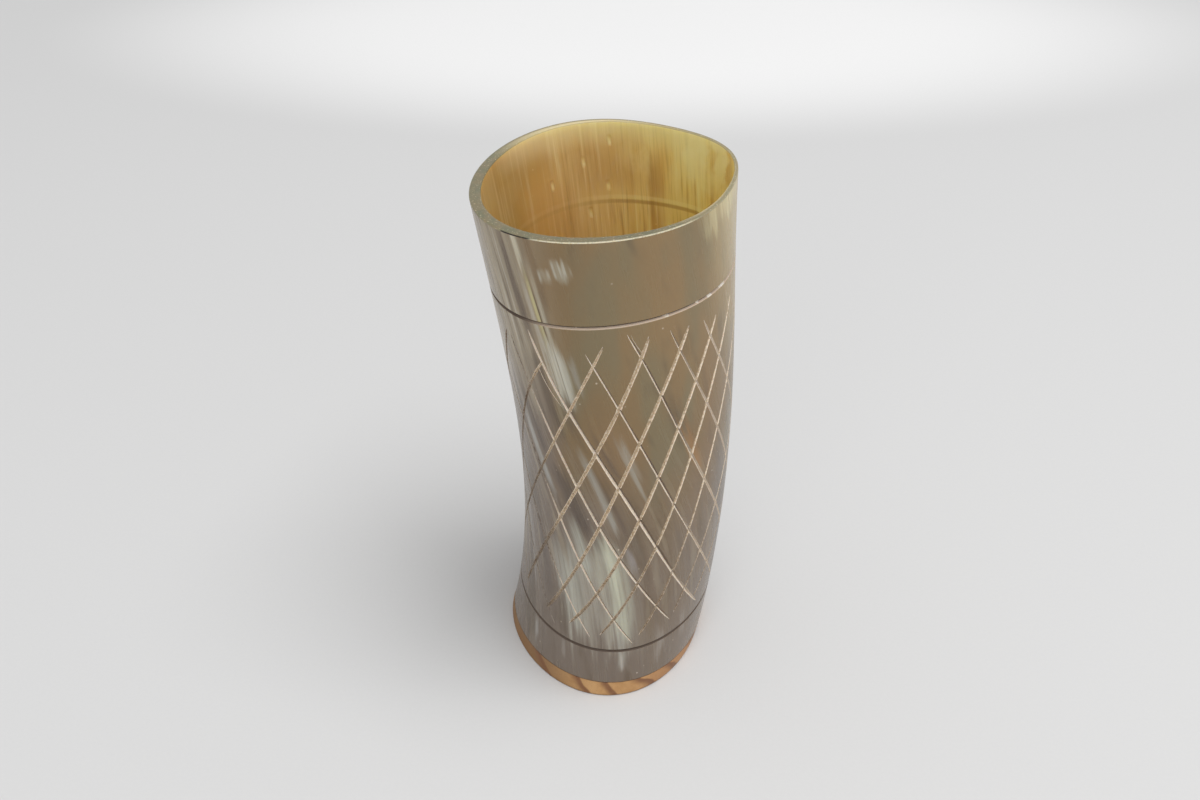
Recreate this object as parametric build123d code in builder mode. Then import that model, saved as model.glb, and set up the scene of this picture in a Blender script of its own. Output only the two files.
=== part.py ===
import os
from math import cos, exp, hypot, log, pi, radians, remainder, sin, tan

from build123d import *

# A drinking beaker made from a length of natural horn with a wooden bottom let into it.
# Millimetres and degrees. The cup stands on Z = 0 with the middle of its foot at the origin,
# +X to its right and +Y to its back.

# Overall form of the horn: an oval tube that turns, bows and opens out on its way up
cup_height = 160.0
foot_long = 73.0
foot_short = 61.0
foot_turn = 92.5
mouth_long = 75.0
mouth_short = 67.5
mouth_turn = 41.5
lean_right = -2.8
lean_back = 4.5
bow = 6.4
bow_height = 67.0

# One end of the oval is fuller than the other, and a keel grows out of it towards the mouth
fullness = 0.105
keel_rise = 4.4
keel_turn = -16.0
keel_spread = 26.0

# Wall of the horn, thicker at the foot. The hollow lies off to the right and the back
mouth_wall = 2.2
foot_wall = 3.4
bore_right = 1.0
bore_back = 0.6
rim_round = 0.4

# Engraved rings round the outside
upper_ring_drop = 26.1
lower_ring_rise = 18.9
ring_width = 1.2
ring_depth = 0.6
ring_start = 180.0

# Wooden bottom, its glue and its seal. The horn is sawn at a slant, so the band is deepest at the front
band_height = 3.5
band_tilt = 3.3
band_round = 0.5
spigot_height = 8.7
glue_gap = 0.3
seal_thickness = 1.0
seal_film = 0.5
seal_cove = 3.0

# Fineness of the sections that carry the form
section_count = 9
outline_points = 24

# Heights and planes worked out from the sizes above
wood_plane = Plane.XY.offset(band_height).rotated((-band_tilt, 0, 0))
horn_plane = wood_plane.offset(glue_gap)
spigot_foot = band_height - tan(radians(band_tilt)) * foot_long / 2
spigot_top = band_height + glue_gap + spigot_height
seal_top = spigot_top + seal_thickness
cove_top = seal_top + seal_cove
mouth_margin = 1.0


def wall_at(height):
    """Thickness of the horn at a height above the floor."""
    return foot_wall + (mouth_wall - foot_wall) * height / cup_height


def outline(height, inset, shift, start):
    """Points round the cup at a height, drawn in by inset, moved over by shift, from a start heading."""
    share = height / cup_height
    half_long = (foot_long + (mouth_long - foot_long) * share**2) / 2
    half_short = (foot_short + (mouth_short - foot_short) * share**2) / 2
    turn = radians(foot_turn + (mouth_turn - foot_turn) * share)
    bow_power = log(0.5) / log(bow_height / cup_height)
    middle_x = lean_right * share + bow * sin(pi * share**bow_power) + shift[0]
    middle_y = lean_back * share + shift[1]
    points = []
    for step in range(outline_points):
        heading = radians(start) + 2 * pi * step / outline_points
        angle = remainder(heading - turn, 2 * pi)
        along = half_long * cos(angle)
        across = half_short * sin(angle) * (1 + fullness * cos(angle))
        radius = hypot(along, across)
        off_keel = (angle - radians(keel_turn)) / radians(keel_spread)
        keel = keel_rise * share**2 * exp(-(off_keel**2))
        stretch = (radius + keel - inset) / radius
        x = middle_x + stretch * (along * cos(turn) - across * sin(turn))
        y = middle_y + stretch * (along * sin(turn) + across * cos(turn))
        points.append((x, y))
    return points


def oval_sketch(height, inset=0.0, shift=(0.0, 0.0), start=0.0):
    """Face across the cup at a height."""
    with BuildSketch(Plane.XY.offset(height)) as oval:
        with BuildLine():
            Spline(*outline(height, inset, shift, start), periodic=True)
        make_face()
    return oval.sketch


def bore_sketch(height, inset=0.0):
    """Face across the hollow of the horn at a height, or across what fits in it by inset."""
    return oval_sketch(height, wall_at(height) + inset, (bore_right, bore_back))


def heights_between(low, high):
    """Evenly spaced heights for the sections of a loft."""
    return [low + (high - low) * step / (section_count - 1) for step in range(section_count)]


def ring_cutter(height):
    """Collar with a V inside it, which cuts an engraved ring. Its seam stands across from the horn's."""
    steepness = ring_depth / (ring_width / 2)
    half_height = ring_width
    with BuildPart() as cutter:
        with BuildSketch(Plane.XY.offset(height - half_height)):
            add(oval_sketch(height, -2 * half_height * steepness, start=ring_start))
        extrude(amount=2 * half_height)
        waist = []
        for rise in (-half_height, 0, half_height):
            inset = ring_depth - abs(rise) * steepness
            waist.append(oval_sketch(height + rise, inset, start=ring_start))
        loft(waist, ruled=True, mode=Mode.SUBTRACT)
    return cutter.part


# Outside of the whole cup, wood and horn together
with BuildPart() as outer_form:
    loft([oval_sketch(height) for height in heights_between(0, cup_height)])

# Hollow of the horn, running out of both its ends
with BuildPart() as bore_form:
    loft([bore_sketch(height) for height in heights_between(0, cup_height + mouth_margin)])

# Horn: the tube above the glue, with a rounded rim and two engraved rings
with BuildPart() as horn_wall:
    add(outer_form.part)
    split(bisect_by=horn_plane, keep=Keep.TOP)
    add(bore_form.part, mode=Mode.SUBTRACT)
    fillet(horn_wall.edges().group_by(Axis.Z)[-1], radius=rim_round)
    for ring_height in (lower_ring_rise, cup_height - upper_ring_drop):
        add(ring_cutter(ring_height), mode=Mode.SUBTRACT)
horn_wall.part.label = "horn_wall"

# Wood: a band flush with the horn, and a spigot carved to the hollow less the glue
with BuildPart() as wooden_base:
    add(outer_form.part)
    split(bisect_by=wood_plane, keep=Keep.BOTTOM)
    fillet(wooden_base.edges().group_by(Axis.Z)[0], radius=band_round)
    loft([bore_sketch(height, glue_gap) for height in (spigot_foot / 2, band_height, spigot_top)])
wooden_base.part.label = "wooden_base"

# Bed of glue under the horn's foot, as wide as the cup
with BuildPart() as glue_bed:
    add(outer_form.part)
    split(bisect_by=wood_plane, keep=Keep.TOP)
    split(bisect_by=horn_plane, keep=Keep.BOTTOM)

# Glue: the bed, and what fills the gap round the spigot
with BuildPart() as glue_seam:
    add(bore_form.part)
    split(bisect_by=Plane.XY.offset(spigot_top), keep=Keep.BOTTOM)
    split(bisect_by=horn_plane, keep=Keep.TOP)
    add(glue_bed.part)
    add(wooden_base.part, mode=Mode.SUBTRACT)
glue_seam.part.label = "glue_seam"

# Seal: a coat over the wood and glue, drawn up the wall in a cove
with BuildPart() as floor_seal:
    add(bore_form.part)
    split(bisect_by=Plane.XY.offset(cove_top), keep=Keep.BOTTOM)
    split(bisect_by=Plane.XY.offset(spigot_top), keep=Keep.TOP)
    loft([bore_sketch(height, seal_film) for height in (seal_top, cove_top)], mode=Mode.SUBTRACT)
    fillet(floor_seal.edges().group_by(Axis.Z)[1], radius=seal_cove - seal_film)
floor_seal.part.label = "floor_seal"

os.makedirs("parts", exist_ok=True)
for piece in (horn_wall, wooden_base, glue_seam, floor_seal):
    export_step(piece.part, f"parts/{piece.part.label}.step")
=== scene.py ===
import random
from math import cos, degrees, log, pi, radians, sin

import bmesh
import bpy
import numpy as np
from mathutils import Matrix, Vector, noise
from mathutils.geometry import delaunay_2d_cdt


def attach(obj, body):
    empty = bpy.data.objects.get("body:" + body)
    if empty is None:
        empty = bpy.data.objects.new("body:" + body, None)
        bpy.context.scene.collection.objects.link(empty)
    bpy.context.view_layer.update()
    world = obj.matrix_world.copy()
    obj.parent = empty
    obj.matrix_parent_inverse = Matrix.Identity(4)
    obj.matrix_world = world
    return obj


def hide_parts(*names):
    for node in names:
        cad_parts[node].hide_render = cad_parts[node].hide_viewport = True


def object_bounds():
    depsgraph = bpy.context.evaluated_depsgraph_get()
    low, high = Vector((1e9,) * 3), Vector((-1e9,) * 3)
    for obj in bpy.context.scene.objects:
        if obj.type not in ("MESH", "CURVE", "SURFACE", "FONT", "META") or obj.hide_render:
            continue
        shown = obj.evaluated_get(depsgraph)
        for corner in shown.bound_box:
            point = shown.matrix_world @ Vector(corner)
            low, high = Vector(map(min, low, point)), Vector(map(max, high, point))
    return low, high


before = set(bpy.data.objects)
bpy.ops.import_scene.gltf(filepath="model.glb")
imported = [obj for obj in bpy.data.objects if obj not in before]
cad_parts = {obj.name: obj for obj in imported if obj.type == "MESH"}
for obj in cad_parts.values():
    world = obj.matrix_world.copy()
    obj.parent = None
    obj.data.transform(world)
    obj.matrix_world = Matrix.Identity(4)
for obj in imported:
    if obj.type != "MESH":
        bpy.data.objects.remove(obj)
cadLow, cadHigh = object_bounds()
print("frame loaded:", ", ".join(sorted(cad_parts)))

scene = bpy.context.scene
mm = 0.001
seamHeading = -270.0  # degrees, the sheets are joined up at the back of the cup
columns = 192  # steps round the cup
polish = 0.02  # mm taken off every face that goes round


def addObject(name, data):
    made = bpy.data.objects.new(name, data)
    scene.collection.objects.link(made)
    return made


# node helpers

def hexColour(code):  # screen colour to the linear one that shaders take
    shares = [int(code[at:at + 2], 16) / 255 for at in (0, 2, 4)]
    linear = [share / 12.92 if share < 0.04045 else ((share + 0.055) / 1.055) ** 2.4 for share in shares]
    return (*linear, 1.0)


def addNode(tree, kind, **settings):
    node = tree.nodes.new(kind)
    for name, value in settings.items():
        setattr(node, name, value)
    return node


def feed(socket, value):  # a link, a screen colour or a plain value
    if isinstance(value, Wire):
        value.into(socket)
    elif socket.type == "RGBA":
        socket.default_value = hexColour(value)
    else:
        socket.default_value = value


def feedAll(node, **values):  # by the sockets' names
    for name, value in values.items():
        feed(node.inputs[name], value)


class Wire:  # a value in a node tree, which is added and multiplied like a number
    def __init__(self, socket):
        self.socket = socket
        self.tree = socket.id_data

    def into(self, socket):
        self.tree.links.new(self.socket, socket)

    def through(self, node, *values):  # first into a node's sockets, with other values after it
        for socket, value in zip(node.inputs, (self, *values)):
            feed(socket, value)
        return Wire(node.outputs[0])

    def calc(self, operation, *values):
        return self.through(addNode(self.tree, "ShaderNodeMath", operation=operation), *values)

    def __add__(self, other):
        return self.calc("ADD", other)

    def __sub__(self, other):
        return self.calc("SUBTRACT", other)

    def __mul__(self, other):
        return self.calc("MULTIPLY", other)

    def __truediv__(self, other):
        return self.calc("DIVIDE", other)

    def most(self, other):
        return self.calc("MAXIMUM", other)

    def wrapped(self):  # degrees from -180 to 180
        return self.calc("WRAP", 180.0, -180.0)

    def facing(self, at):  # of a heading: 1 on the side that faces another one, -1 across from it
        return (self - at).calc("RADIANS").calc("COSINE")

    def step(self, low, high, toLow=0.0, toHigh=1.0):  # soft step, also downwards
        node = addNode(self.tree, "ShaderNodeMapRange", interpolation_type="SMOOTHSTEP")
        return self.through(node, low, high, toLow, toHigh)

    def parts(self):  # x, y and z
        node = addNode(self.tree, "ShaderNodeSeparateXYZ")
        self.into(node.inputs[0])
        return [Wire(socket) for socket in node.outputs]


def joined(first, *others):  # x, y and z as one vector
    return first.through(addNode(first.tree, "ShaderNodeCombineXYZ"), *others)


def blend(mask, under, over):
    node = addNode(mask.tree, "ShaderNodeMix", data_type="RGBA")
    for number, value in ((0, mask), (6, under), (7, over)):
        feed(node.inputs[number], value)
    return Wire(node.outputs[2])


def layered(look, base, *rows):  # the base, then named colours laid over it by their masks
    colour = look.get(base, base)
    for mask, name in rows:
        colour = blend(mask, colour, look[name])
    return colour


def stretched(vector, scale, turn=(0.0, 0.0, 0.0)):
    node = addNode(vector.tree, "ShaderNodeMapping")
    feedAll(node, Vector=vector, Rotation=turn, Scale=scale)
    return Wire(node.outputs[0])


def cloud(vector, scale, detail=3.0, distortion=0.0):
    node = addNode(vector.tree, "ShaderNodeTexNoise")
    feedAll(node, Vector=vector, Scale=scale, Detail=detail, Roughness=0.55, Distortion=distortion)
    return Wire(node.outputs[0])


def newGroup(name, inputs, outputs, kind="ShaderNodeTree"):
    tree = bpy.data.node_groups.new(name, kind)
    for way, sockets in (("INPUT", inputs), ("OUTPUT", outputs)):
        for label, socketType in sockets.items():
            tree.interface.new_socket(label, in_out=way, socket_type="NodeSocket" + socketType)
    given = {socket.name: Wire(socket) for socket in addNode(tree, "NodeGroupInput").outputs}
    return tree, given, addNode(tree, "NodeGroupOutput").inputs


def useGroup(tree, group, **values):
    node = addNode(tree, "ShaderNodeGroup", node_tree=group)
    feedAll(node, **values)
    return {socket.name: Wire(socket) for socket in node.outputs}


def newMaterial(name, **constants):  # constants go straight onto the shader's sockets
    material = bpy.data.materials.new(name)
    material.use_nodes = True
    shader = material.node_tree.nodes["Principled BSDF"]
    for label, value in constants.items():
        shader.inputs[label.replace("_", " ")].default_value = value
    return material, material.node_tree, shader.inputs


def newHorn(name, weight, scale, radius):  # horn lets some light into it
    return newMaterial(name, IOR=1.54, Subsurface_Weight=weight, Subsurface_Scale=scale,
                       Subsurface_Radius=radius)


def placeIn(tree):
    return Wire(addNode(tree, "ShaderNodeTexCoord").outputs["Object"])


def aroundIn(tree):  # turns round the cup, and share of the way up
    return Wire(addNode(tree, "ShaderNodeUVMap", uv_map="around").outputs[0])


def finishSkin(inputs, colour, roughness, relief, depth, strength):
    colour.into(inputs["Base Color"])
    roughness.into(inputs["Roughness"])
    bump = addNode(relief.tree, "ShaderNodeBump")
    feedAll(bump, Height=relief, Distance=depth, Strength=strength)
    Wire(bump.outputs[0]).into(inputs["Normal"])


# shared effects

fibreRun = dict(twist=0.26, waistTwist=0.38, waist=(57.0, 100.0), ease=18.0, reach=35.0)  # degrees per mm, mm
cupForm = dict(
    height=cadHigh.z, footLong=73 * mm, footShort=61 * mm, footTurn=92.5,
    mouthLong=75 * mm, mouthShort=67.5 * mm, mouthTurn=41.5,
    leanRight=-2.8 * mm, leanBack=4.5 * mm, bow=6.4 * mm, bowHeight=67 * mm,
    fullness=0.105, keelRise=4.4 * mm, keelTurn=-16.0, keelSpread=26.0, footTilt=3.3,
)


def buildFibreField():  # where a point lies along and across the horn's fibres
    tree, given, put = newGroup("fibreField", dict(Around="Vector", Twist="Float", WaistTwist="Float"),
                                dict(Grain="Vector", Fibre="Float", Rise="Float", Heading="Float"))
    turns, share, rest = given["Around"].parts()
    heading = turns * 360.0
    rise = share * (cupForm["height"] / mm)
    below, under = (rise.calc("SMOOTH_MIN", height, fibreRun["ease"]) for height in fibreRun["waist"])
    turned = (under - below) * given["WaistTwist"] + (rise * given["Twist"] + heading)
    angle = turned.calc("RADIANS")
    joined(angle.calc("COSINE"), angle.calc("SINE"), rise / fibreRun["reach"]).into(put["Grain"])
    turned.wrapped().into(put["Fibre"])
    rise.into(put["Rise"])
    heading.wrapped().into(put["Heading"])
    return tree


def buildStreakMask():  # one streak: where it lies across the fibres, and from what height to what height
    names = ("Fibre", "Rise", "At", "Width", "Low", "High", "Fade", "Waver")
    tree, given, put = newGroup("streakMask", dict.fromkeys(names, "Float"), dict(Mask="Float"))
    fibre, rise, at, width, low, high, fade, waver = (given[name] for name in names)
    off = (fibre + waver * (width * 0.4) - at).wrapped().calc("ABSOLUTE")
    across = off.step(width * 0.2, width, 1.0, 0.0)
    frayed = waver * fade + rise
    run = frayed.step(low, low + fade) * frayed.step(high - fade, high, 1.0, 0.0)
    (across * run).into(put["Mask"])
    return tree


def buildFibreNoise():  # long streaks along the fibres, from broad to hair fine
    sizes = dict(Grain="Vector", Across="Float", Along="Float", Detail="Float")
    tree, given, put = newGroup("fibreNoise", sizes, dict(Value="Float"))
    scale = joined(given["Across"], given["Across"], given["Along"])
    cloud(stretched(given["Grain"], scale), 1.0, given["Detail"]).into(put["Value"])
    return tree


def buildHandlingMarks():  # fine scratches and pits from use
    tree, given, put = newGroup("handlingMarks", dict(Place="Vector"), dict(Scratch="Float", Pit="Float"))
    place = given["Place"]
    hairs = []
    for turn, scale in ((0.5, (900, 900, 60)), (-0.9, (1100, 700, 80))):
        slanted = stretched(place, scale, (turn, 0.4 * turn, turn))
        hairs.append(cloud(slanted, 1.0, 2.0).step(0.68, 0.74))
    patchy = cloud(place, 90.0, 2.0).step(0.45, 0.62)
    (hairs[0].most(hairs[1]) * patchy).into(put["Scratch"])
    cells = addNode(tree, "ShaderNodeTexVoronoi")
    feedAll(cells, Vector=place, Scale=330.0)
    pits = Wire(cells.outputs["Distance"]).step(0.05, 0.13, 1.0, 0.0)
    rare = cloud(place, 160.0, 1.0).step(0.58, 0.66)
    (pits * rare).into(put["Pit"])
    return tree


def buildGrowthRings():  # slanted year rings: pale spring wood that darkens to a hard edge
    sizes = dict(Place="Vector", Slant="Vector", Spacing="Float", Shift="Float")
    tree, given, put = newGroup("growthRings", sizes, dict(Ring="Float", Pore="Float"))
    place = given["Place"]
    along = addNode(tree, "ShaderNodeVectorMath", operation="DOT_PRODUCT")
    place.through(along, given["Slant"])
    wander = cloud(place, 55.0, 3.0) * 0.9 + given["Shift"]
    share = (Wire(along.outputs["Value"]) / given["Spacing"] + wander).calc("FRACT")
    (share.step(0.5, 0.84) * share.step(0.9, 0.99, 1.0, 0.0)).into(put["Ring"])
    cloud(stretched(place, (2600.0, 700.0, 2600.0)), 1.0, 2.0).into(put["Pore"])
    return tree


fibreField = buildFibreField()
streakMask = buildStreakMask()
fibreNoise = buildFibreNoise()
handlingMarks = buildHandlingMarks()
growthRings = buildGrowthRings()
print("shared effects ready")


def streak(fibre, rise, waver, at, width, low, high, fade):  # mask of one streak
    return useGroup(fibre.tree, streakMask, Fibre=fibre, Rise=rise, At=at, Width=width,
                    Low=low, High=high, Fade=fade, Waver=waver)["Mask"]


def fibreClouds(field, rows):  # rows of: fineness across and along the fibres, and detail
    grain = field["Grain"]
    return [useGroup(grain.tree, fibreNoise, Grain=grain, Across=across, Along=along, Detail=detail)["Value"]
            for across, along, detail in rows]


def sidesOf(heading, rows):  # masks of sides of the cup, by name
    return {name: heading.facing(at).step(*fade) for name, (at, *fade) in rows.items()}


def levelsOf(rise, rows):  # masks of heights, by name
    return {name: rise.step(*fade) for name, fade in rows.items()}


# horn, outside

outsideLook = dict(
    olive="7f6845", warm="917751", glow="c2b082", mauve="7a6c5f", umber="584836", pale="b4a78d",
    rust="97704a", moss="75735a", cutPale="ecdcc8", cutTan="b39c7d", cutSpeck="e2d4bd", cutShade="3f2c1b",
    # the cut flank colour is painted shade in the grooves
    cutBrown="5a4532", cutFlankShade="54402b", ringPale="c0ac98", nick="f2ece0",
    fibres=[(3.2, 0.9, 3.0), (12.0, 1.1, 4.0), (48.0, 2.2, 3.0)],  # broad bands, strands, hairs
    # sides: heading, then the cosines away from it between which the mask fades, and from what to what
    sides=dict(
        # lit and edge are painted light on the right side of the cup
        left=(-172, 0.3, 0.85), back=(90, 0.25, 0.75), right=(-10, -0.35, 0.9), lit=(14, 0.6, 0.97),
        warm=(-20, 0.3, 0.9, 1.0, 0.75), edge=(2, 0.84, 1.0, 0.0, 0.45), flankShade=(-8, 0.6, 0.95, 1.0, 0.3),
        darkerCuts=(-172, 0.65, 0.85), stained=(-165, 0.55, 0.85), nicked=(-5, 0.45, 0.75, 0.0, 0.75),
    ),
    # levels: the heights in mm between which the mask fades, and from what to what
    levels=dict(
        low=(125, 40), busy=(14, 34, 0.3, 1.0), right=(85, 135, 0.25, 1.0), paintedSheen=(95, 128, 0.0, 0.6),
        lit=(108, 158), edge=(92, 124), lowCuts=(75, 35, 0.0, 0.8), lowRing=(60, 40), highRing=(100, 120),
    ),
    # streaks: colour, place across the fibres, half width, from, to, fade, strength
    streaks=[
        ("b8ad9e", -108, 11, 96, 134, 14, 0.75), ("b5ab98", -93, 1.5, 120, 156, 12, 0.6),
        ("5d4d3c", -89.5, 1, 120, 152, 12, 0.6), ("c3bbaa", -85.5, 1.3, 120, 152, 12, 0.7),
        ("5d4d3c", -83, 0.8, 124, 160, 12, 0.6), ("c3bbaa", -80, 0.9, 124, 164, 12, 0.7),
        ("5b4a3c", -74.6, 3.6, 122, 166, 12, 0.85), ("574838", -75.5, 4.8, 94, 126, 10, 0.8),
        ("b9b1a0", -68.4, 2.3, 114, 152, 14, 0.85), ("d6cfb8", -65.8, 2.4, 145, 172, 8, 0.75),
        ("cfccbc", -63.6, 6, 105, 133, 9, 0.9), ("c6c5b8", -60.3, 3.2, 107, 129, 9, 0.6),
        ("cdc491", -65.4, 1.7, 124, 150, 8, 0.75), ("bdb5a0", -62.1, 1.9, 122, 153, 12, 0.8),
        ("54442f", -64.1, 0.6, 126, 148, 8, 0.85), ("6a5a44", -62.6, 0.5, 104, 131, 9, 0.7),
        ("77684f", -66.9, 0.5, 106, 131, 9, 0.55), ("735a3a", -58.8, 3.6, 138, 166, 8, 0.55),
        ("a5a196", -55, 3.2, 112, 127, 5, 0.45), ("b3ae9b", -55, 4.2, 146, 152, 2.5, 0.45),
        ("bdbcab", -47, 5.5, 146.5, 155, 3, 0.5), ("cfcec0", -57.3, 0.9, 146.5, 151.5, 2, 0.4),
        ("cfcec0", -52.6, 1.1, 147.5, 152, 2, 0.35), ("cfcec0", -49.4, 1, 147, 154.5, 2.5, 0.5),
        ("cfcec0", -46.6, 0.8, 148.5, 155.5, 2.5, 0.35), ("cfcec0", -44.4, 1, 148.5, 155.5, 2.5, 0.55),
        ("cfcec0", -41.8, 0.8, 148.5, 153, 2, 0.3), ("b6b4ac", -101.3, 3.6, 66, 106, 12, 0.85),
        ("54463a", -94, 3.4, 84, 110, 10, 0.65), ("4f4137", -89, 8.5, 60, 87, 8, 0.85),
        ("a9a69c", -68.3, 3.4, 61, 97, 12, 0.7), ("5b4c40", -55, 4.2, 78, 102, 10, 0.6),
        ("5b4c42", -64.5, 2.8, 60, 80, 8, 0.6), ("aaa79c", -44.5, 3.6, 77, 103, 10, 0.55),
        ("a9a3a3", -66.3, 3.4, 46, 61, 7, 0.65), ("a69f91", -91, 33, 12, 64, 14, 0.85),
        ("b8b7a9", -108, 10, 20, 61, 12, 0.7), ("bdbeb0", -95, 5.5, 46, 69, 8, 0.7),
        ("bebea9", -78.5, 9.5, 20, 67, 12, 0.8), ("cfcfb8", -79.5, 3.6, 34, 65, 10, 0.6),
        ("5e5042", -84, 2.6, 53, 66, 5, 0.7), ("b4b19f", -87, 5, 40, 63, 8, 0.55),
        ("857869", -89, 2.2, 28, 50, 10, 0.4), ("b9b7aa", -116, 5.5, 34, 58, 8, 0.5),
        ("b4b2a6", -80.7, 4.5, 8, 32, 8, 0.5), ("62544a", -129.5, 8, 24, 62, 12, 0.6),
        ("a8a39b", -143.5, 4.5, 28, 72, 14, 0.55), ("b5b0a8", -143.5, 2.4, 7, 20, 5, 0.65),
        ("a9a299", -120, 2, 9, 19, 4, 0.5), ("c3bcb2", -80.6, 1.7, 8, 19, 4, 0.65),
        ("b0a8a0", -55, 5, 8, 25, 7, 0.55), ("b0a8a0", -38, 3.5, 9, 29, 7, 0.35),
        ("a4753f", -11.5, 5, 77, 102, 10, 0.6), ("5d5044", 4, 16, 8, 78, 22, 0.75),
        ("e0d4a4", 42, 24, 151, 170, 6, 0.65),
    ],
)


def hornOutside(look=outsideLook):
    material, tree, inputs = newHorn("hornOutside", 0.15, 2 * mm, (1.0, 0.7, 0.4))
    place = placeIn(tree)
    field = useGroup(tree, fibreField, Around=aroundIn(tree), Twist=fibreRun["twist"],
                     WaistTwist=fibreRun["waistTwist"])
    side = sidesOf(field["Heading"], look["sides"])
    level = levelsOf(field["Rise"], look["levels"])
    broad, strands, hairs = fibreClouds(field, look["fibres"])
    marks = useGroup(tree, handlingMarks, Place=place)

    # the clear olive front runs out into grey, streaky horn on the left and near the foot
    busy = side["left"].most((level["low"] * 0.4).most(side["back"] * 0.7)) * level["busy"]
    tint = cloud(stretched(place, (60.0, 60.0, 18.0)), 1.0, 2.0)
    greying = (level["low"] * 0.8).most(side["left"] * 0.75) * side["warm"]
    greying = (broad - 0.5) * 0.8 + greying
    colour = layered(
        look, "olive",
        (side["right"] * level["right"], "warm"),
        (tint.step(0.5, 0.68, 0.0, 0.2), "rust"),
        (tint.step(0.5, 0.34, 0.0, 0.4), "moss"),
        (greying.step(0.15, 0.85), "mauve"),
        (broad.step(0.48, 0.32, 0.0, 0.5), "umber"),
        # painted reflection of the bright backdrop along the left side
        (side["left"] * level["paintedSheen"], "pale"),
        (strands.step(0.5, 0.72, 0.0, 0.6) * busy, "pale"),
        (strands.step(0.48, 0.3, 0.0, 0.65) * busy, "umber"),
        # painted light on the right: a glow through the horn near the top, and a sheen along the right edge
        ((side["lit"] * level["lit"] * 0.9).most(side["edge"] * level["edge"]), "glow"),
    )

    waver = (strands - 0.5) * 3.0
    comb = strands.step(0.32, 0.58, 0.65, 1.0) * hairs.step(0.35, 0.58, 0.72, 1.0)
    for code, *run, strength in look["streaks"]:
        mask = streak(field["Fibre"], field["Rise"], waver, *run)
        colour = blend(mask * comb * strength, colour, code)
    hairline = hairs.step(0.45, 0.3, 0.0, 0.3) * busy.step(0.0, 1.0, 0.06, 1.0)
    colour = blend(hairline, colour, look["umber"])

    # fresh horn in the cuts: a pale flank and a dark one of painted shade, a rough floor in those that rise
    # to the right
    cut = Wire(addNode(tree, "ShaderNodeAttribute", attribute_name="cut").outputs["Vector"])
    share, across, family = cut.parts()
    chatter = cloud(place, 1500.0, 3.0)
    raw = ((chatter - 0.5) * 0.06 + share).step(0.02, 0.1)
    rising = family.step(0.3, 0.7)
    smooth = layered(
        look, "cutPale",
        (chatter.step(0.55, 0.35, 0.0, 0.3), "cutTan"),
        # painted shade on the upper flank of the falling cuts, weaker at the right
        (across.step(-0.12, 0.14, 0.0, 0.92) * side["flankShade"], "cutFlankShade"),
    )
    rough = layered(
        look, "cutTan",
        (chatter.step(0.48, 0.7, 0.0, 0.8), "cutSpeck"),
        (chatter.step(0.42, 0.3, 0.0, 0.5), "cutShade"),
        (across.calc("ABSOLUTE").step(0.5, 0.75) * chatter.step(0.32, 0.5, 0.3, 0.9), "cutPale"),
    )
    fresh = blend(rising, smooth, rough)
    # cuts drawn darker on the left, and low rising cuts darker too, most on their upper flank as painted
    # shade
    lowRough = rising * level["lowCuts"] * across.step(-0.4, 0.4, 0.35, 1.0)
    darkerCuts = side["darkerCuts"].most(lowRough) * chatter.step(0.4, 0.6, 0.85, 0.62)
    fresh = blend(darkerCuts, fresh, layered(look, "cutShade", (rising, "cutBrown")))

    # the rings: painted shade on the upper flank, pale below, stained at the left and low down, nicked at the
    # right
    ring = layered(
        look, "ringPale",
        # painted shade on the ring's upper flank
        (across.step(-0.25, 0.15), "cutShade"),
        (side["stained"].most(level["lowRing"]) * 0.9, "cutShade"),
        (cloud(place, 330.0, 1.0).step(0.58, 0.64) * side["nicked"] * level["highRing"], "nick"),
    )
    fresh = blend(family.step(-0.3, -0.7), fresh, ring)
    colour = layered(look, blend(raw, colour, fresh), (marks["Pit"] * 0.5, "cutPale"))

    satin = marks["Scratch"] * 0.2 + strands.step(0.2, 0.8, 0.2, 0.32)
    relief = chatter * raw * 0.6 + hairs - marks["Scratch"] * 0.5
    finishSkin(inputs, colour, raw * 0.35 + satin, relief, 0.04 * mm, 0.3)
    return material


# horn, inside

insideLook = dict(
    amber="b08d4b", goldAndGlow="dfc68c", cream="ecdcae", honey="bc9955", shade="94773f", twist=0.05,
    fibres=[(5.0, 0.6, 2.0), (30.0, 0.9, 4.0), (110.0, 2.0, 3.0)],
    sides=dict(
        goldAndGlow=(40, -0.3, 0.95), streaky=(35, 0.0, 0.8, 0.22, 0.46), curds=(40, 0.7, 0.96, 0.1, 0.75),
        # the ring side sets how strong the painted ring shade and light are, most on the right
        thin=(90, 0.25, 0.8, 0.0, 0.65), ring=(25, 0.0, 0.9, 0.12, 0.6),
    ),
    # the thin level and side paint light coming through the wall under the rim
    levels=dict(curds=(132, 156), thin=(149, 160)),
    # broad stains: colour, heading, half width, from, to, fade, strength
    stains=[
        ("9c7634", 88, 28.0, 134, 163, 9, 0.38),
        ("d6ae68", 129, 24.0, 112, 153, 12, 0.42),
        ("ecdcae", 46, 14.0, 138, 160, 8, 0.32),
        ("8e6a26", 26, 13.0, 145, 166, 6, 0.38),
        ("7d602c", 65.5, 6.0, 132, 153, 8, 0.34),
        ("7d602c", 66.3, 5.0, 108, 138, 8, 0.22),
    ],
    dents=[(100.5, 147.5), (119.3, 142.5), (89.4, 139.2), (100.3, 130.8), (86.0, 153.8)],  # heading, rise
    dentWidth=1.5, dentReach=2.2, dentFade=2.0,
)


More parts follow.
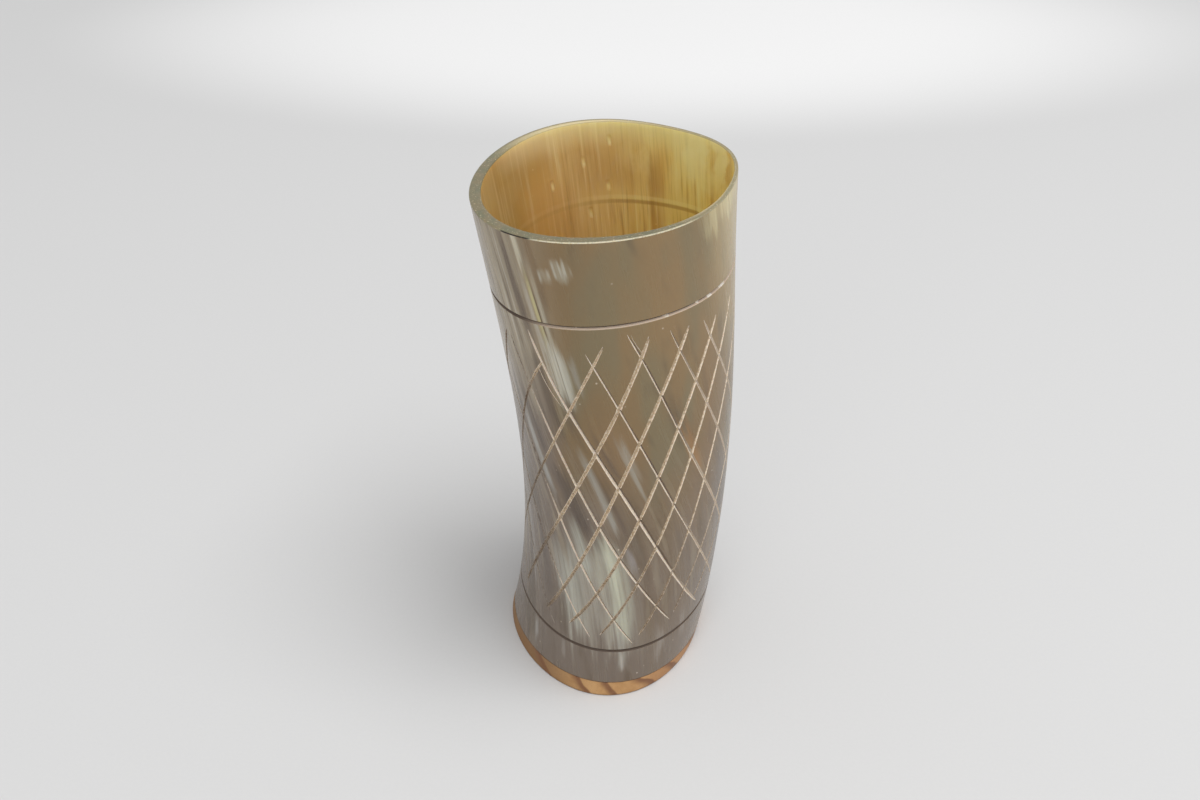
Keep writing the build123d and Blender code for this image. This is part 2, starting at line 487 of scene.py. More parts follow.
def hornInside(look=insideLook):
    material, tree, inputs = newHorn("hornInside", 0.8, 6 * mm, (1.0, 0.8, 0.45))
    place = placeIn(tree)
    field = useGroup(tree, fibreField, Around=aroundIn(tree), Twist=look["twist"], WaistTwist=0.0)
    heading, rise = field["Heading"], field["Rise"]
    side = sidesOf(heading, look["sides"])
    level = levelsOf(rise, look["levels"])
    broad, strands, hairs = fibreClouds(field, look["fibres"])
    colour = layered(
        look, "amber",
        # lighter gold on the right and back: partly the horn's own colour, partly painted light through the
        # wall
        (side["goldAndGlow"], "goldAndGlow"),
        (broad.step(0.45, 0.68, 0.0, 0.45), "honey"),
        (strands.step(0.5, 0.72) * side["goldAndGlow"].step(0.0, 1.0, 0.3, 0.6), "cream"),
        (strands.step(0.47, 0.3) * side["streaky"], "shade"),
        (hairs.step(0.46, 0.3) * side["streaky"] * 0.7, "shade"),
    )
    waver = (strands - 0.5) * 2.0
    for code, *run, strength in look["stains"]:
        colour = blend(streak(heading, rise, waver, *run) * strength, colour, code)
    curdled = cloud(stretched(place, (1.0, 1.0, 0.7)), 85.0, 4.0, distortion=0.4)
    curds = level["curds"] * curdled.step(0.43, 0.6) * side["curds"]
    off = rise - engraving["highRing"]
    under = off.calc("ABSOLUTE").step(0.3, 0.9, 1.0, 0.0)
    over = (off - 1.5).calc("ABSOLUTE").step(0.3, 1.0, 1.0, 0.0)
    marks = useGroup(tree, handlingMarks, Place=place)
    dents = None
    for at, middle in look["dents"]:
        ends = middle - look["dentReach"], middle + look["dentReach"]
        dent = streak(heading, rise, 0.0, at, look["dentWidth"], *ends, look["dentFade"])
        dents = dents.most(dent) if dents else dent
    colour = layered(
        look, colour,
        # cream curds, and painted light through the thin wall just under the rim at the back
        (curds.most(level["thin"] * side["thin"]), "cream"),
        (under * side["ring"], "shade"),  # painted shade: the engraved ring shows through the wall as a brown line
        (over * side["ring"] * 0.6, "cream"),  # with a painted light one above it
        (marks["Pit"] * 0.5, "cream"),
        # the dents get a painted highlight in cream besides their relief
        (dents * 0.5, "cream"),
    )
    relief = dents * -8.0 + (hairs * 0.6 + strands)
    finishSkin(inputs, colour, strands.step(0.2, 0.8, 0.34, 0.48), relief, 0.08 * mm, 0.45)
    return material


# horn, sawn and rounded rim

rimLook = dict(
    grey="766b4f", green="68664c", cream="cdbd92", edge="e2d9be", fleck="cbc3a4", crack="23160a",
    # the edge colour and mask are a painted highlight on the rim's outer round at the front
    sides=dict(cream=(50, -0.35, 0.45), edge=(-78, 0.72, 0.9, 0.15, 0.85)),
    crackFrom=-131.5, crackTo=-113.5, crackLevel=(159.97 * mm, 159.91 * mm),
)


def hornRim(look=rimLook):
    material, tree, inputs = newHorn("hornRim", 0.3, 3 * mm, (1.0, 0.8, 0.45))
    place = placeIn(tree)
    turns, inset, rest = aroundIn(tree).parts()  # here inset is mm in from the outer edge
    heading = (turns * 360.0).wrapped()
    side = sidesOf(heading, look["sides"])
    grit = cloud(place, 1900.0, 3.0)
    crack = heading.step(look["crackFrom"], look["crackFrom"] + 1.5)
    crack = crack * heading.step(look["crackTo"] - 3.0, look["crackTo"], 1.0, 0.0)
    crack = crack * place.parts()[2].step(*look["crackLevel"]) * grit.step(0.3, 0.45, 0.7, 1.0)
    colour = layered(
        look, "grey",
        (cloud(place, 260.0, 4.0).step(0.35, 0.65), "green"),
        (side["cream"] * inset.step(0.6, 1.4, 0.2, 0.9), "cream"),
        (grit.step(0.58, 0.72, 0.0, 0.8), "fleck"),
        # painted highlight on the outer round of the rim at the front
        (inset.step(0.3, 0.05) * side["edge"] * grit.step(0.3, 0.5, 0.5, 1.0), "edge"),
        (crack, "crack"),
    )
    finishSkin(inputs, colour, grit.step(0.3, 0.7, 0.28, 0.5), grit, 0.08 * mm, 0.6)
    return material


# every piece is a flat sheet, laid out by heading and rise, that is rolled into the cup's form

def buildRollTree():
    sizes = dict.fromkeys((*cupForm, "bowPower"), "Float")
    skins = dict.fromkeys(("outside", "inside", "edge"), "Material")
    tree, given, put = newGroup("rollSheet", dict(Geometry="Geometry", **sizes, **skins),
                                dict(Geometry="Geometry"), "GeometryNodeTree")

    def attribute(name, kind="FLOAT"):
        node = addNode(tree, "GeometryNodeInputNamedAttribute", data_type=kind)
        node.inputs["Name"].default_value = name
        return Wire(node.outputs[0])

    heading, flatRise, inset = Wire(addNode(tree, "GeometryNodeInputPosition").outputs[0]).parts()
    toRim = attribute("toMiddle") * -1.0 + 1.0

    def grown(foot, mouth, by):  # from the foot's size to the mouth's
        return (given[mouth] - given[foot]) * by + given[foot]

    def formAt(rise):  # where a point of the sheet lands at a height
        share = rise / given["height"]
        square = share * share
        halfLong = grown("footLong", "mouthLong", square) * 0.5
        halfShort = grown("footShort", "mouthShort", square) * 0.5
        turn = grown("footTurn", "mouthTurn", share).calc("RADIANS")
        sway = (share.calc("POWER", given["bowPower"]) * pi).calc("SINE")
        middleX = given["bow"] * sway + given["leanRight"] * share
        middleY = given["leanBack"] * share
        angle = (heading - turn).calc("WRAP", pi, -pi)
        cosine = angle.calc("COSINE")
        along = halfLong * cosine
        across = halfShort * angle.calc("SINE") * (given["fullness"] * cosine + 1.0)
        radius = (along * along + across * across).calc("SQRT")
        offKeel = (angle - given["keelTurn"].calc("RADIANS")) / given["keelSpread"].calc("RADIANS")
        keel = given["keelRise"] * square * (offKeel * offKeel * -1.0).calc("EXPONENT")
        stretch = (radius + keel - inset) / radius * toRim
        turnCos, turnSin = turn.calc("COSINE"), turn.calc("SINE")
        outX = along * turnCos - across * turnSin
        outY = along * turnSin + across * turnCos
        return stretch * outX + middleX, stretch * outY + middleY

    slope = given["footTilt"].calc("RADIANS").calc("TANGENT") * attribute("tilt")
    rise = flatRise - slope * formAt(flatRise)[1]  # sawn lower towards the back
    moved = addNode(tree, "GeometryNodeSetPosition")
    feedAll(moved, Geometry=given["Geometry"], Position=joined(*formAt(rise), rise))
    shape = Wire(moved.outputs[0]).through(addNode(tree, "GeometryNodeRealizeInstances"))
    skin = attribute("skin", "INT")
    for number, name in enumerate(skins):
        wears = addNode(tree, "FunctionNodeCompare", data_type="INT", operation="EQUAL")
        feed(wears.inputs[2], skin)
        feed(wears.inputs[3], number)
        dressed = addNode(tree, "GeometryNodeSetMaterial")
        feedAll(dressed, Geometry=shape, Selection=Wire(wears.outputs[0]), Material=given[name])
        shape = Wire(dressed.outputs[0])
    shape.into(put["Geometry"])
    return tree


rollTree = buildRollTree()


def row(rise, inset=0.0, inward=0.0, tilt=0.0):  # inset in mm or by heading, shares inward and of tilt
    return rise, inset, inward, tilt


def quarter(steps):  # angles of a rounded edge
    return [pi / 2 * number / steps for number in range(steps + 1)]


class Sheet:  # flat faces to be rolled: heading in degrees, rise and inset in mm
    def __init__(self):
        self.points, self.inward, self.tilts, self.cuts = [], [], [], []
        self.faces, self.skins = [], []

    def addPoint(self, heading, rise, inset=0.0, inward=0.0, tilt=0.0, cut=(0.0, 0.0, 0.0)):
        self.points.append((radians(heading), rise * mm, (inset + polish) * mm))
        self.inward.append(inward)
        self.tilts.append(tilt)
        self.cuts.append(cut)
        return len(self.points) - 1

    def addFace(self, corners, skin):
        self.faces.append(corners)
        self.skins.append(skin)

    def addRows(self, rows, skinOf=lambda number: 0, closed=False):
        headings = [seamHeading + 360.0 * column / columns for column in range(columns + 1)]
        grid = []
        for rise, inset, inward, tilt in rows:
            insets = [inset(heading) if callable(inset) else inset for heading in headings]
            grid.append([self.addPoint(heading, rise, depth, inward, tilt)
                         for heading, depth in zip(headings, insets)])
        pairs = list(zip(grid, grid[1:] + grid[:1]))
        for number, (low, high) in enumerate(pairs if closed else pairs[:-1]):
            for column in range(columns):
                corners = (low[column], low[column + 1], high[column + 1], high[column])
                self.addFace(corners, skinOf(number))


rollSizes = dict(
    bands=[(0.0, 0.5), (0.5, 0.92), (0.93, 1.0)],  # outside, inside and edge in the baked picture
    margin=0.01, widestEdge=4 * mm, sharp=28.0, weld=0.002 * mm, sliver=0.0005 * mm,
)


def bakePlace(turns, share, skin):
    low, high = rollSizes["bands"][skin]
    margin = rollSizes["margin"]
    return turns - seamHeading / 360.0, low + (high - low) * (margin + (1 - 2 * margin) * share)


def flatMesh(name, sheet):
    flat = bpy.data.meshes.new(name)
    flat.from_pydata(sheet.points, [], sheet.faces)
    flat.attributes.new("toMiddle", "FLOAT", "POINT").data.foreach_set("value", sheet.inward)
    flat.attributes.new("tilt", "FLOAT", "POINT").data.foreach_set("value", sheet.tilts)
    flat.attributes.new("skin", "INT", "FACE").data.foreach_set("value", sheet.skins)
    cuts = flat.attributes.new("cut", "FLOAT_VECTOR", "POINT")
    cuts.data.foreach_set("vector", [value for cut in sheet.cuts for value in cut])
    around = flat.uv_layers.new(name="around")
    bake = flat.uv_layers.new(name="OFBake")
    for face, skin in zip(flat.polygons, sheet.skins):
        for loop in face.loop_indices:
            heading, rise, inset = sheet.points[flat.loops[loop].vertex_index]
            turns = degrees(heading) / 360.0
            share = rise / cupForm["height"]
            around.data[loop].uv = (turns, share if skin < 2 else inset / mm)
            if skin == 2:
                share = min(1.0, inset / rollSizes["widestEdge"])
            bake.data[loop].uv = bakePlace(turns, share, skin)
    return flat


def rollSheet(name, sheet, **skins):
    flat = flatMesh(name + "Flat", sheet)
    piece = addObject(name, flat)
    roll = piece.modifiers.new("roll", "NODES")
    roll.node_group = rollTree
    bowPower = log(0.5) / log(cupForm["bowHeight"] / cupForm["height"])
    values = dict(cupForm, bowPower=bowPower, **skins)
    for socket in rollTree.interface.items_tree:
        if socket.in_out == "INPUT" and socket.name in values:
            roll[socket.identifier] = values[socket.name]
    depsgraph = bpy.context.evaluated_depsgraph_get()
    mesh = bpy.data.meshes.new_from_object(piece.evaluated_get(depsgraph), preserve_all_data_layers=True,
                                           depsgraph=depsgraph)
    piece.modifiers.clear()
    piece.data = mesh
    mesh.name = name
    bpy.data.meshes.remove(flat)
    work = bmesh.new()
    work.from_mesh(mesh)
    bmesh.ops.remove_doubles(work, verts=work.verts, dist=rollSizes["weld"])
    bmesh.ops.dissolve_degenerate(work, edges=work.edges, dist=rollSizes["sliver"])
    work.to_mesh(mesh)
    work.free()
    for face in mesh.polygons:
        face.use_smooth = True
    mesh.set_sharp_from_angle(angle=radians(rollSizes["sharp"]))
    for spare in ("toMiddle", "tilt", "skin"):
        mesh.attributes.remove(mesh.attributes[spare])
    print(name, "rolled:", len(mesh.vertices), "points,", len(mesh.polygons), "faces")
    return piece


# the horn's wall, hollow and slanted foot

hornSizes = dict(foot=3.8, slantTop=12.0, wallFoot=3.4, wallMouth=2.2, boreRight=1.0, boreBack=0.6,
                 rimRound=0.4, rimSteps=5, wallRow=2.4, crackDepth=0.3, crackEase=4.0,
                 fluteDepth=0.07, fluteCount=9.0, fluteRun=60.0)
cupTop = cupForm["height"] / mm


def slantAt(rise):  # the slant of the foot dies out on the way up
    return max(0.0, min(1.0, (hornSizes["slantTop"] - rise) / (hornSizes["slantTop"] - hornSizes["foot"])))


def boreInset(rise, extra=0.0):  # wall from outside to hollow, thinner at the right and the back
    wall = hornSizes["wallFoot"] + (hornSizes["wallMouth"] - hornSizes["wallFoot"]) * rise / cupTop

    def insetAt(heading):
        turn = radians(heading)
        return wall - hornSizes["boreRight"] * cos(turn) - hornSizes["boreBack"] * sin(turn) + extra
    return insetAt


def scraped(rise):  # the hollow is scraped lengthwise, so it is faintly fluted
    plain, count = boreInset(rise), hornSizes["fluteCount"]

    def insetAt(heading):
        turn = radians(heading)
        flute = noise.noise((count * cos(turn), count * sin(turn), rise / hornSizes["fluteRun"]))
        return plain(heading) + hornSizes["fluteDepth"] * flute
    return insetAt


def acrossRim(share):  # part of the way from the outer round to the inner one
    def insetAt(heading):
        return hornSizes["rimRound"] + share * (boreInset(cupTop)(heading) - 2 * hornSizes["rimRound"])
    return insetAt


def cracked(inset, sinks):  # a short crack along the outer edge of the rim
    def insetAt(heading):
        into = min(heading - rimLook["crackFrom"], rimLook["crackTo"] - heading) / hornSizes["crackEase"]
        ragged = 0.75 + 0.5 * noise.noise((0.9 * heading, 3.0, 1.0))
        return inset + sinks * max(0.0, min(1.0, into)) * ragged
    return insetAt


# the engraving

engraving = dict(
    flatRadius=35.0, lowRing=18.9, highRing=133.9, ringHalf=0.6, ringDepth=0.6,
    ringLines=(-1.4, -1.0, -0.5, 0.0, 0.5, 1.0, 1.4), overlap=3.0, brim=1.02, tremor=0.25, tremorPitch=1.3,
    guard=0.3, stroke=1.6, fill=2.5, fillRow=0.866, fillLuck=0.12, ringClear=1.2, cutClear=1.1, seed=11,
    taper=7.0, thinEnd=0.3, thinTop=(0.7, 45.0), thinFoot=(0.62, 28.0), valley=0.05, flank=0.4,
    waves=[(1.7, 0.05), (0.61, 0.07), (3.9, 0.03)],  # of the strokes' width: how fast, how much
    fallCount=15, riseCount=16, tops=(124.0, 131.0), feet=(21.0, 27.0),
    # cuts that fall to the right: half width, depth, then degrees round and mm up from top to foot
    falling=[
        (0.44, 0.40, [(-190, 112), (-141.5, 55), (-121.5, 36), (-105.5, 23)]),
        (0.54, 0.46, [(-177, 126), (-138, 84), (-113.5, 53), (-78, 21)]),
        (0.58, 0.50, [(-142, 126), (-119, 92), (-91, 58), (-54, 25)]),
        (0.74, 0.60, [(-125.5, 131), (-110, 108), (-87, 81), (-66, 56), (-31, 23)]),
        (0.46, 0.44, [(-96, 126), (-64, 80), (-45, 56), (-7, 21)]),
        (0.46, 0.44, [(-76, 131), (-57, 101), (-35, 71), (-4, 40), (14, 24)]),
        (0.42, 0.40, [(-56, 129), (-34, 97), (-8, 66), (30, 24)]),
    ],
    # cuts that rise to the right, wider and flatter
    rising=[
        (0.48, 0.34, [(-120.5, 121), (-135, 109), (-157, 84), (-206, 30)]),
        (0.46, 0.34, [(-87, 128), (-109, 106), (-141, 77), (-186, 30)]),
        (0.62, 0.38, [(-66, 129), (-83, 107), (-145, 47), (-163, 26)]),
        (0.62, 0.38, [(-46, 128), (-86, 81), (-113, 52), (-139, 26)]),
        (0.60, 0.36, [(-28, 126), (-65, 81), (-88, 55), (-121, 26)]),
        (0.55, 0.34, [(-12, 127), (-32, 103), (-78, 44), (-100, 25)]),
        (0.50, 0.34, [(12, 127), (-36, 71), (-56, 43), (-75, 24)]),
        (0.46, 0.32, [(38, 127), (7, 90), (-27, 52), (-45, 34), (-52, 27)]),
    ],
    # short scratches beside the falling cuts, where the graver slipped
    slips=[
        (0.28, 0.24, [(-123, 119.5), (-120.4, 115), (-116.5, 111), (-111.5, 107)]),
        (0.20, 0.16, [(-74.4, 131), (-72.8, 128), (-71.3, 126), (-69.3, 123.5)]),
        (0.26, 0.22, [(-18.8, 131), (-16.3, 126.5), (-13.6, 121.8), (-10, 116)]),
    ],
)
girth = 2 * pi * engraving["flatRadius"]


class Cut:  # one stroke of the graver, laid out flat
    def __init__(self, half, depth, points, rising, luck):
        heights = [rise for heading, rise in points]
        self.half, self.depth, self.rising = half, depth, rising
        self.top, self.foot = max(heights), min(heights)
        self.path = np.polyfit(heights, [heading for heading, rise in points], len(points) - 1)
        self.phases = [luck.uniform(0.0, 6.3) for wave in engraving["waves"]]
        floor, valley = 1 - engraving["flank"], engraving["valley"]
        self.lines = (-1.0, -floor, 0.0, floor, 1.0) if rising else (-1.0, -0.45, valley, 0.5, 1.0)

    def lean(self, rise):  # cosine of the stroke's slant on the flat sheet
        slope = np.polyval(np.polyder(self.path), rise) * pi / 180 * engraving["flatRadius"]
        return 1 / np.sqrt(1 + slope ** 2)

    def ending(self, rise):  # 0 at the stroke's ends, 1 along its run
        away = np.minimum(self.top - rise, rise - self.foot) / self.lean(rise) / engraving["taper"]
        away = np.clip(away, 0.0, 1.0)
        return np.sqrt(away * (2 - away))

    def width(self, rise):
        waves = zip(engraving["waves"], self.phases)
        waver = sum(much * np.sin(fast * rise + phase) for (fast, much), phase in waves)
        opened = 1.0
        if not self.rising:  # thin where the graver goes in and comes out
            for away, end in ((self.top - rise, "thinTop"), (rise - self.foot, "thinFoot")):
                thin, run = engraving[end]
                opened = opened * (thin + (1 - thin) * np.clip(away / run, 0.0, 1.0))
        thin = engraving["thinEnd"]
        return self.half * (1 + waver) * opened * (thin + (1 - thin) * self.ending(rise))

    def offset(self, heading, rise):  # how far a point lies across the stroke, in half widths
        away = (heading - np.polyval(self.path, rise) + 180.0) % 360.0 - 180.0
        return np.radians(away) * engraving["flatRadius"] * self.lean(rise) / self.width(rise)

    def covers(self, rise, margin=0.0):
        return (rise > self.foot - margin) & (rise < self.top + margin)

    def depthAt(self, offset, rise):
        if self.rising:
            shape = (1 - np.abs(offset)) / engraving["flank"]
        else:  # a plain V
            valley = engraving["valley"]
            shape = np.minimum((1 + offset) / (1 + valley), (1 - offset) / (1 - valley))
        return self.depth * np.clip(shape, 0.0, 1.0) * self.width(rise) / self.half * self.covers(rise)


def allCuts():
    luck = random.Random(engraving["seed"])
    cuts = []
    middle = (engraving["tops"][0] + engraving["feet"][0]) / 2
    families = ((engraving["falling"], engraving["fallCount"], False),
                (engraving["rising"], engraving["riseCount"], True))
    for seen, count, rising in families:
        family = [Cut(half, depth, points, rising, luck) for half, depth, points in seen]
        model = len(seen) // 2
        first, lead, last = (np.polyval(family[at].path, middle) for at in (0, model, -1))
        spacing = (360.0 - (last - first)) / (count - len(seen) + 1)
        half, depth = (sum(cut[at] for cut in seen) / len(seen) for at in (0, 1))
        for number in range(1, count - len(seen) + 1):  # the back of the cup goes on at the same pitch
            shift = last + number * spacing - lead + luck.uniform(-2.0, 2.0)
            points = [(heading + shift + luck.uniform(-1.0, 1.0), rise) for heading, rise in seen[model][2]]
            points[0] = (points[0][0], luck.uniform(*engraving["tops"]))
            points[-1] = (points[-1][0], luck.uniform(*engraving["feet"]))
            sizes = half * luck.uniform(0.8, 1.1), depth * luck.uniform(0.85, 1.1)
            family.append(Cut(*sizes, points, rising, luck))
        cuts += family
    return cuts + [Cut(half, depth, points, False, luck) for half, depth, points in engraving["slips"]]


def headingAt(across):  # degrees, from mm across the flat sheet
    return np.degrees(across / engraving["flatRadius"]) + seamHeading


def fixedLines(cuts, rings, foot, top):  # the lines that the mesh keeps: ends, rings, seam and strokes
    points, edges = [], []

    def addLine(places):
        start = len(points)
        points.extend(places)
        edges.extend((at, at + 1) for at in range(start, start + len(places) - 1))

    evenly = [girth * column / columns for column in range(columns + 1)]
    rises = [foot, top]
    rises += [ring + share * engraving["ringHalf"] for ring in rings for share in engraving["ringLines"]]
    for rise in rises:
        addLine([(x, rise) for x in evenly])
    sides = np.linspace(foot, top, int((top - foot) / engraving["fill"]) + 1)
    for x in (0.0, girth):
        addLine([(x, rise) for rise in sides])
    for cut in cuts:
        run = np.linspace(cut.top, cut.foot, int((cut.top - cut.foot) / engraving["stroke"]) + 1)
        width, lean = cut.width(run), cut.lean(run)
        middle = np.radians(np.polyval(cut.path, run) - seamHeading) * engraving["flatRadius"]
        guard = 1 + engraving["guard"] / cut.half
        for share in (-guard, *cut.lines, guard):
            line = middle + share * width / lean
            for lap in range(-2, 3):
                inside = [(x, rise) for x, rise in zip(line + lap * girth, run)
                          if -engraving["overlap"] < x < girth + engraving["overlap"]]
                if len(inside) > 1:
                    addLine(inside)
    return points, edges


def fillingPoints(cuts, rings, foot, top):  # loose points on the plain horn between the lines
    luck = random.Random(engraving["seed"] + 1)
    pitch, rowRise, stray = engraving["fill"], engraving["fillRow"], engraving["fillLuck"]
    border = pitch * 0.5
    filling = []
    for level in range(1, int((top - foot) / (rowRise * pitch))):
        for number in range(int(girth / pitch)):
            x = (number + 0.5 * (level % 2) + luck.uniform(-stray, stray) + 0.25) * pitch
            y = foot + level * rowRise * pitch + luck.uniform(-stray, stray) * pitch
            if border < x < girth - border and y < top - border:
                filling.append((x, y))
    across, rises = np.array(filling).T
    headings = headingAt(across)
    clear = np.ones(len(filling), bool)
    for ring in rings:
        clear &= np.abs(rises - ring) > engraving["ringHalf"] + engraving["ringClear"]
    for cut in cuts:
        near = np.abs(cut.offset(headings, rises)) * cut.width(rises) < cut.half + engraving["cutClear"]
        clear &= ~(near & cut.covers(rises, 1.0))
    return [point for point, free in zip(filling, clear) if free]


def engravedSkin(sheet, foot, top):
    cuts = allCuts()
    rings = (engraving["lowRing"], engraving["highRing"])
    points, edges = fixedLines(cuts, rings, foot, top)
    points += fillingPoints(cuts, rings, foot, top)
    result = delaunay_2d_cdt([Vector(point) for point in points], edges, [], 0, 1e-4)
    spots, faces = result[0], result[2]
    place = np.array([(spot.x, spot.y) for spot in spots])
    headings, rises = headingAt(place[:, 0]), place[:, 1]
    found = np.zeros((4, len(place)))  # depth, share of the full depth, place across, family

    def lay(offset, deep, full, family, inRun=True):  # the deepest cut wins
        wins = (deep > found[0]) | ((found[0] == 0) & (np.abs(offset) < engraving["brim"]) & inRun)
        for kept, values in zip(found, (deep, deep / full, offset, np.full(len(place), family))):
            kept[wins] = values[wins]

    for cut in cuts:
        offset = cut.offset(headings, rises)
        lay(offset, cut.depthAt(offset, rises), cut.depth, 1.0 if cut.rising else 0.0, cut.covers(rises))
    for ring in rings:
        offset = (rises - ring) / engraving["ringHalf"]
        deep = engraving["ringDepth"] * np.clip(1 - np.abs(offset), 0.0, 1.0)
        lay(offset, deep, engraving["ringDepth"], -1.0)
    depth, share, across, family = found
    pitch = engraving["tremorPitch"]
    tremor = np.array([noise.noise((x * pitch, y * pitch, 4.0)) for x, y in place])
    depth *= 1 + engraving["tremor"] * tremor * (family > -0.5)
    tag = [sheet.addPoint(heading, rise, inset, tilt=slantAt(rise), cut=cut)
           for heading, rise, inset, cut in zip(headings, rises, depth, zip(share, across, family))]
    for face in faces:
        middle = sum(place[corner][0] for corner in face) / len(face)
        if 0.0 < middle < girth:
            sheet.addFace(tuple(tag[corner] for corner in face), 0)
    print("engraved:", len(cuts), "cuts,", len(rings), "rings,", len(faces), "faces")


# the horn

def hornCup():
    sheet = Sheet()
    foot, bend = hornSizes["foot"], hornSizes["rimRound"]
    shoulder = cupTop - bend
    engravedSkin(sheet, foot, shoulder)
    arc = quarter(hornSizes["rimSteps"])
    rows = []
    for number, turn in enumerate(arc):
        sinks = hornSizes["crackDepth"] if number in (1, 2) else 0.0
        rows.append(row(shoulder + bend * sin(turn), cracked(bend * (1 - cos(turn)), sinks)))
    rows += [row(cupTop, acrossRim(share)) for share in (0.25, 0.5, 0.75)]
    for turn in reversed(arc):
        rows.append(row(shoulder + bend * sin(turn), boreInset(cupTop, -bend * (1 - cos(turn)))))
    rimRows = len(rows) - 1
    count = int((shoulder - foot) / hornSizes["wallRow"])
    for number in range(1, count + 1):
        rise = shoulder + (foot - shoulder) * number / count
        rows.append(row(rise, scraped(rise), tilt=slantAt(rise)))
    rows.append(row(foot, tilt=1.0))
    last = len(rows) - 2
    sheet.addRows(rows, lambda number: 2 if number < rimRows or number == last else 1)
    return rollSheet("hornCup", sheet, outside=hornOutside(), inside=hornInside(), edge=hornRim())


# the wooden bottom

# the darkest wood colour is painted shade, laid on the left side and along the bottom edge
woodLook = dict(pale="d0a36d", tan="be8f5a", ring="7f5230", dust="a77a50", paintedShade="7e5c3a", blush="b4805a",
                slant=(0.80, 0.12, 0.59), spacing=8.3 * mm, shift=0.5)
woodSizes = dict(band=3.5, edge=0.5, edgeSteps=4, spigotTop=12.5, glueGap=0.3)


def pineWood(name, look=woodLook, **constants):
    material, tree, inputs = newMaterial(name, **constants)
    place = placeIn(tree)
    right, back, up = place.parts()
    rings = useGroup(tree, growthRings, Place=place, Slant=look["slant"], Spacing=look["spacing"],
                     Shift=look["shift"])
    colour = layered(
        look, "pale",
        (cloud(stretched(place, (160.0, 60.0, 160.0)), 1.0, 3.0).step(0.35, 0.65), "tan"),
        (rings["Pore"].step(0.52, 0.75, 0.0, 0.5), "dust"),
        # painted shade on the left side, away from the lamp
        (right.step(-2 * mm, -22 * mm, 0.0, 0.8), "paintedShade"),
        # painted contact shadow along the bottom edge
        (up.step(0.9 * mm, 0.1 * mm, 0.0, 0.7), "paintedShade"),
        (right.step(6 * mm, 20 * mm, 0.0, 0.5), "blush"),
        (rings["Ring"] * 0.9, "ring"),
    )
    return material, inputs, place, rings, colour


def woodBase():
    material, inputs, place, rings, colour = pineWood("pineWood")
    relief = rings["Ring"] - rings["Pore"] * 0.5
    finishSkin(inputs, colour, rings["Ring"].step(0.0, 1.0, 0.62, 0.5), relief, 0.1 * mm, 0.6)
    sheet = Sheet()
    bend, band, gap, top = (woodSizes[name] for name in ("edge", "band", "glueGap", "spigotTop"))
    rows = [row(0.0, bend, inward) for inward in (1.0, 0.66, 0.33)]
    rows += [row(bend * (1 - cos(turn)), bend * (1 - sin(turn))) for turn in quarter(woodSizes["edgeSteps"])]
    rows += [row(bend + (band - bend) * share, tilt=share) for share in (0.33, 0.66, 1.0)]
    rows.append(row(band, boreInset(band, gap), tilt=1.0))
    rows += [row(top, boreInset(top, gap), inward) for inward in (0.0, 0.5, 1.0)]
    sheet.addRows(rows)
    return rollSheet("woodBase", sheet, outside=material)


# the glue that shows as a hair line between wood and horn

glueLook = dict(dark="4a3220", light="7a5838", squeeze=0.10)


def glueLine():
    material, tree, inputs = newMaterial("hideGlue", IOR=1.5)
    patches = cloud(placeIn(tree), 420.0, 3.0)
    colour = layered(glueLook, "dark", (patches.step(0.35, 0.65), "light"))
    finishSkin(inputs, colour, patches.step(0.3, 0.7, 0.3, 0.5), patches, 0.05 * mm, 0.5)

    def seam(heading):  # wiped off unevenly
        turn = radians(heading)
        return glueLook["squeeze"] * (0.5 + 0.5 * noise.noise((8 * cos(turn), 8 * sin(turn), 2.0)))

    bed, foot, top, gap = woodSizes["band"], hornSizes["foot"], woodSizes["spigotTop"], woodSizes["glueGap"]
    rows = [row(bed, seam, tilt=1.0), row(foot, seam, tilt=1.0), row(foot, boreInset(foot), tilt=1.0),
            row(top, boreInset(top)), row(top, boreInset(top, gap)), row(bed, boreInset(bed, gap), tilt=1.0)]
    sheet = Sheet()
    sheet.addRows(rows, closed=True)
    return rollSheet("glueLine", sheet, outside=material)


# the coat over the floor inside

sealLook = dict(woodLook, pale="b98a45", tan="a0742f", ring="6b4a1e", dust="8a6228")
sealSizes = dict(bottom=12.5, top=13.5, cove=16.5, film=0.5, coveSteps=6)


def floorSeal():
    coat = dict(Coat_Weight=0.8, Coat_Roughness=0.08)
    material, inputs, place, rings, colour = pineWood("sealedWood", sealLook, **coat)
    satin = cloud(place, 60.0, 2.0).step(0.3, 0.7, 0.18, 0.3)
    finishSkin(inputs, colour, satin, cloud(place, 130.0, 2.0), 0.2 * mm, 0.3)
    bottom, top, cove, film = (sealSizes[name] for name in ("bottom", "top", "cove", "film"))
    bend = cove - top - film
    rows = [row(bottom, boreInset(bottom), inward) for inward in (1.0, 0.5, 0.0)]
    rows += [row(rise, boreInset(rise)) for rise in (bottom + 2.0, cove)]
    for number, turn in enumerate(quarter(sealSizes["coveSteps"])):
        rise = top + bend * (1 - sin(turn)) + (film if number == 0 else 0.0)
        rows.append(row(rise, boreInset(rise, film + bend * (1 - cos(turn)))))
    rows += [row(top, boreInset(top, film + bend), inward) for inward in (0.33, 0.66, 1.0)]
    sheet = Sheet()
    sheet.addRows(rows)
    return rollSheet("floorSeal", sheet, outside=material)


dressed = [
    (hornCup(), "horn_wall", "horn"),
    (woodBase(), "wooden_base", "wood"),
    (glueLine(), "glue_seam", "glue"),
    (floorSeal(), "floor_seal", "seal"),
]
for piece, node, slotName in dressed:
    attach(piece, "root")
    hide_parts(node)
print("pieces dressed:", ", ".join(piece.name for piece, node, slotName in dressed))


# floor, light and camera

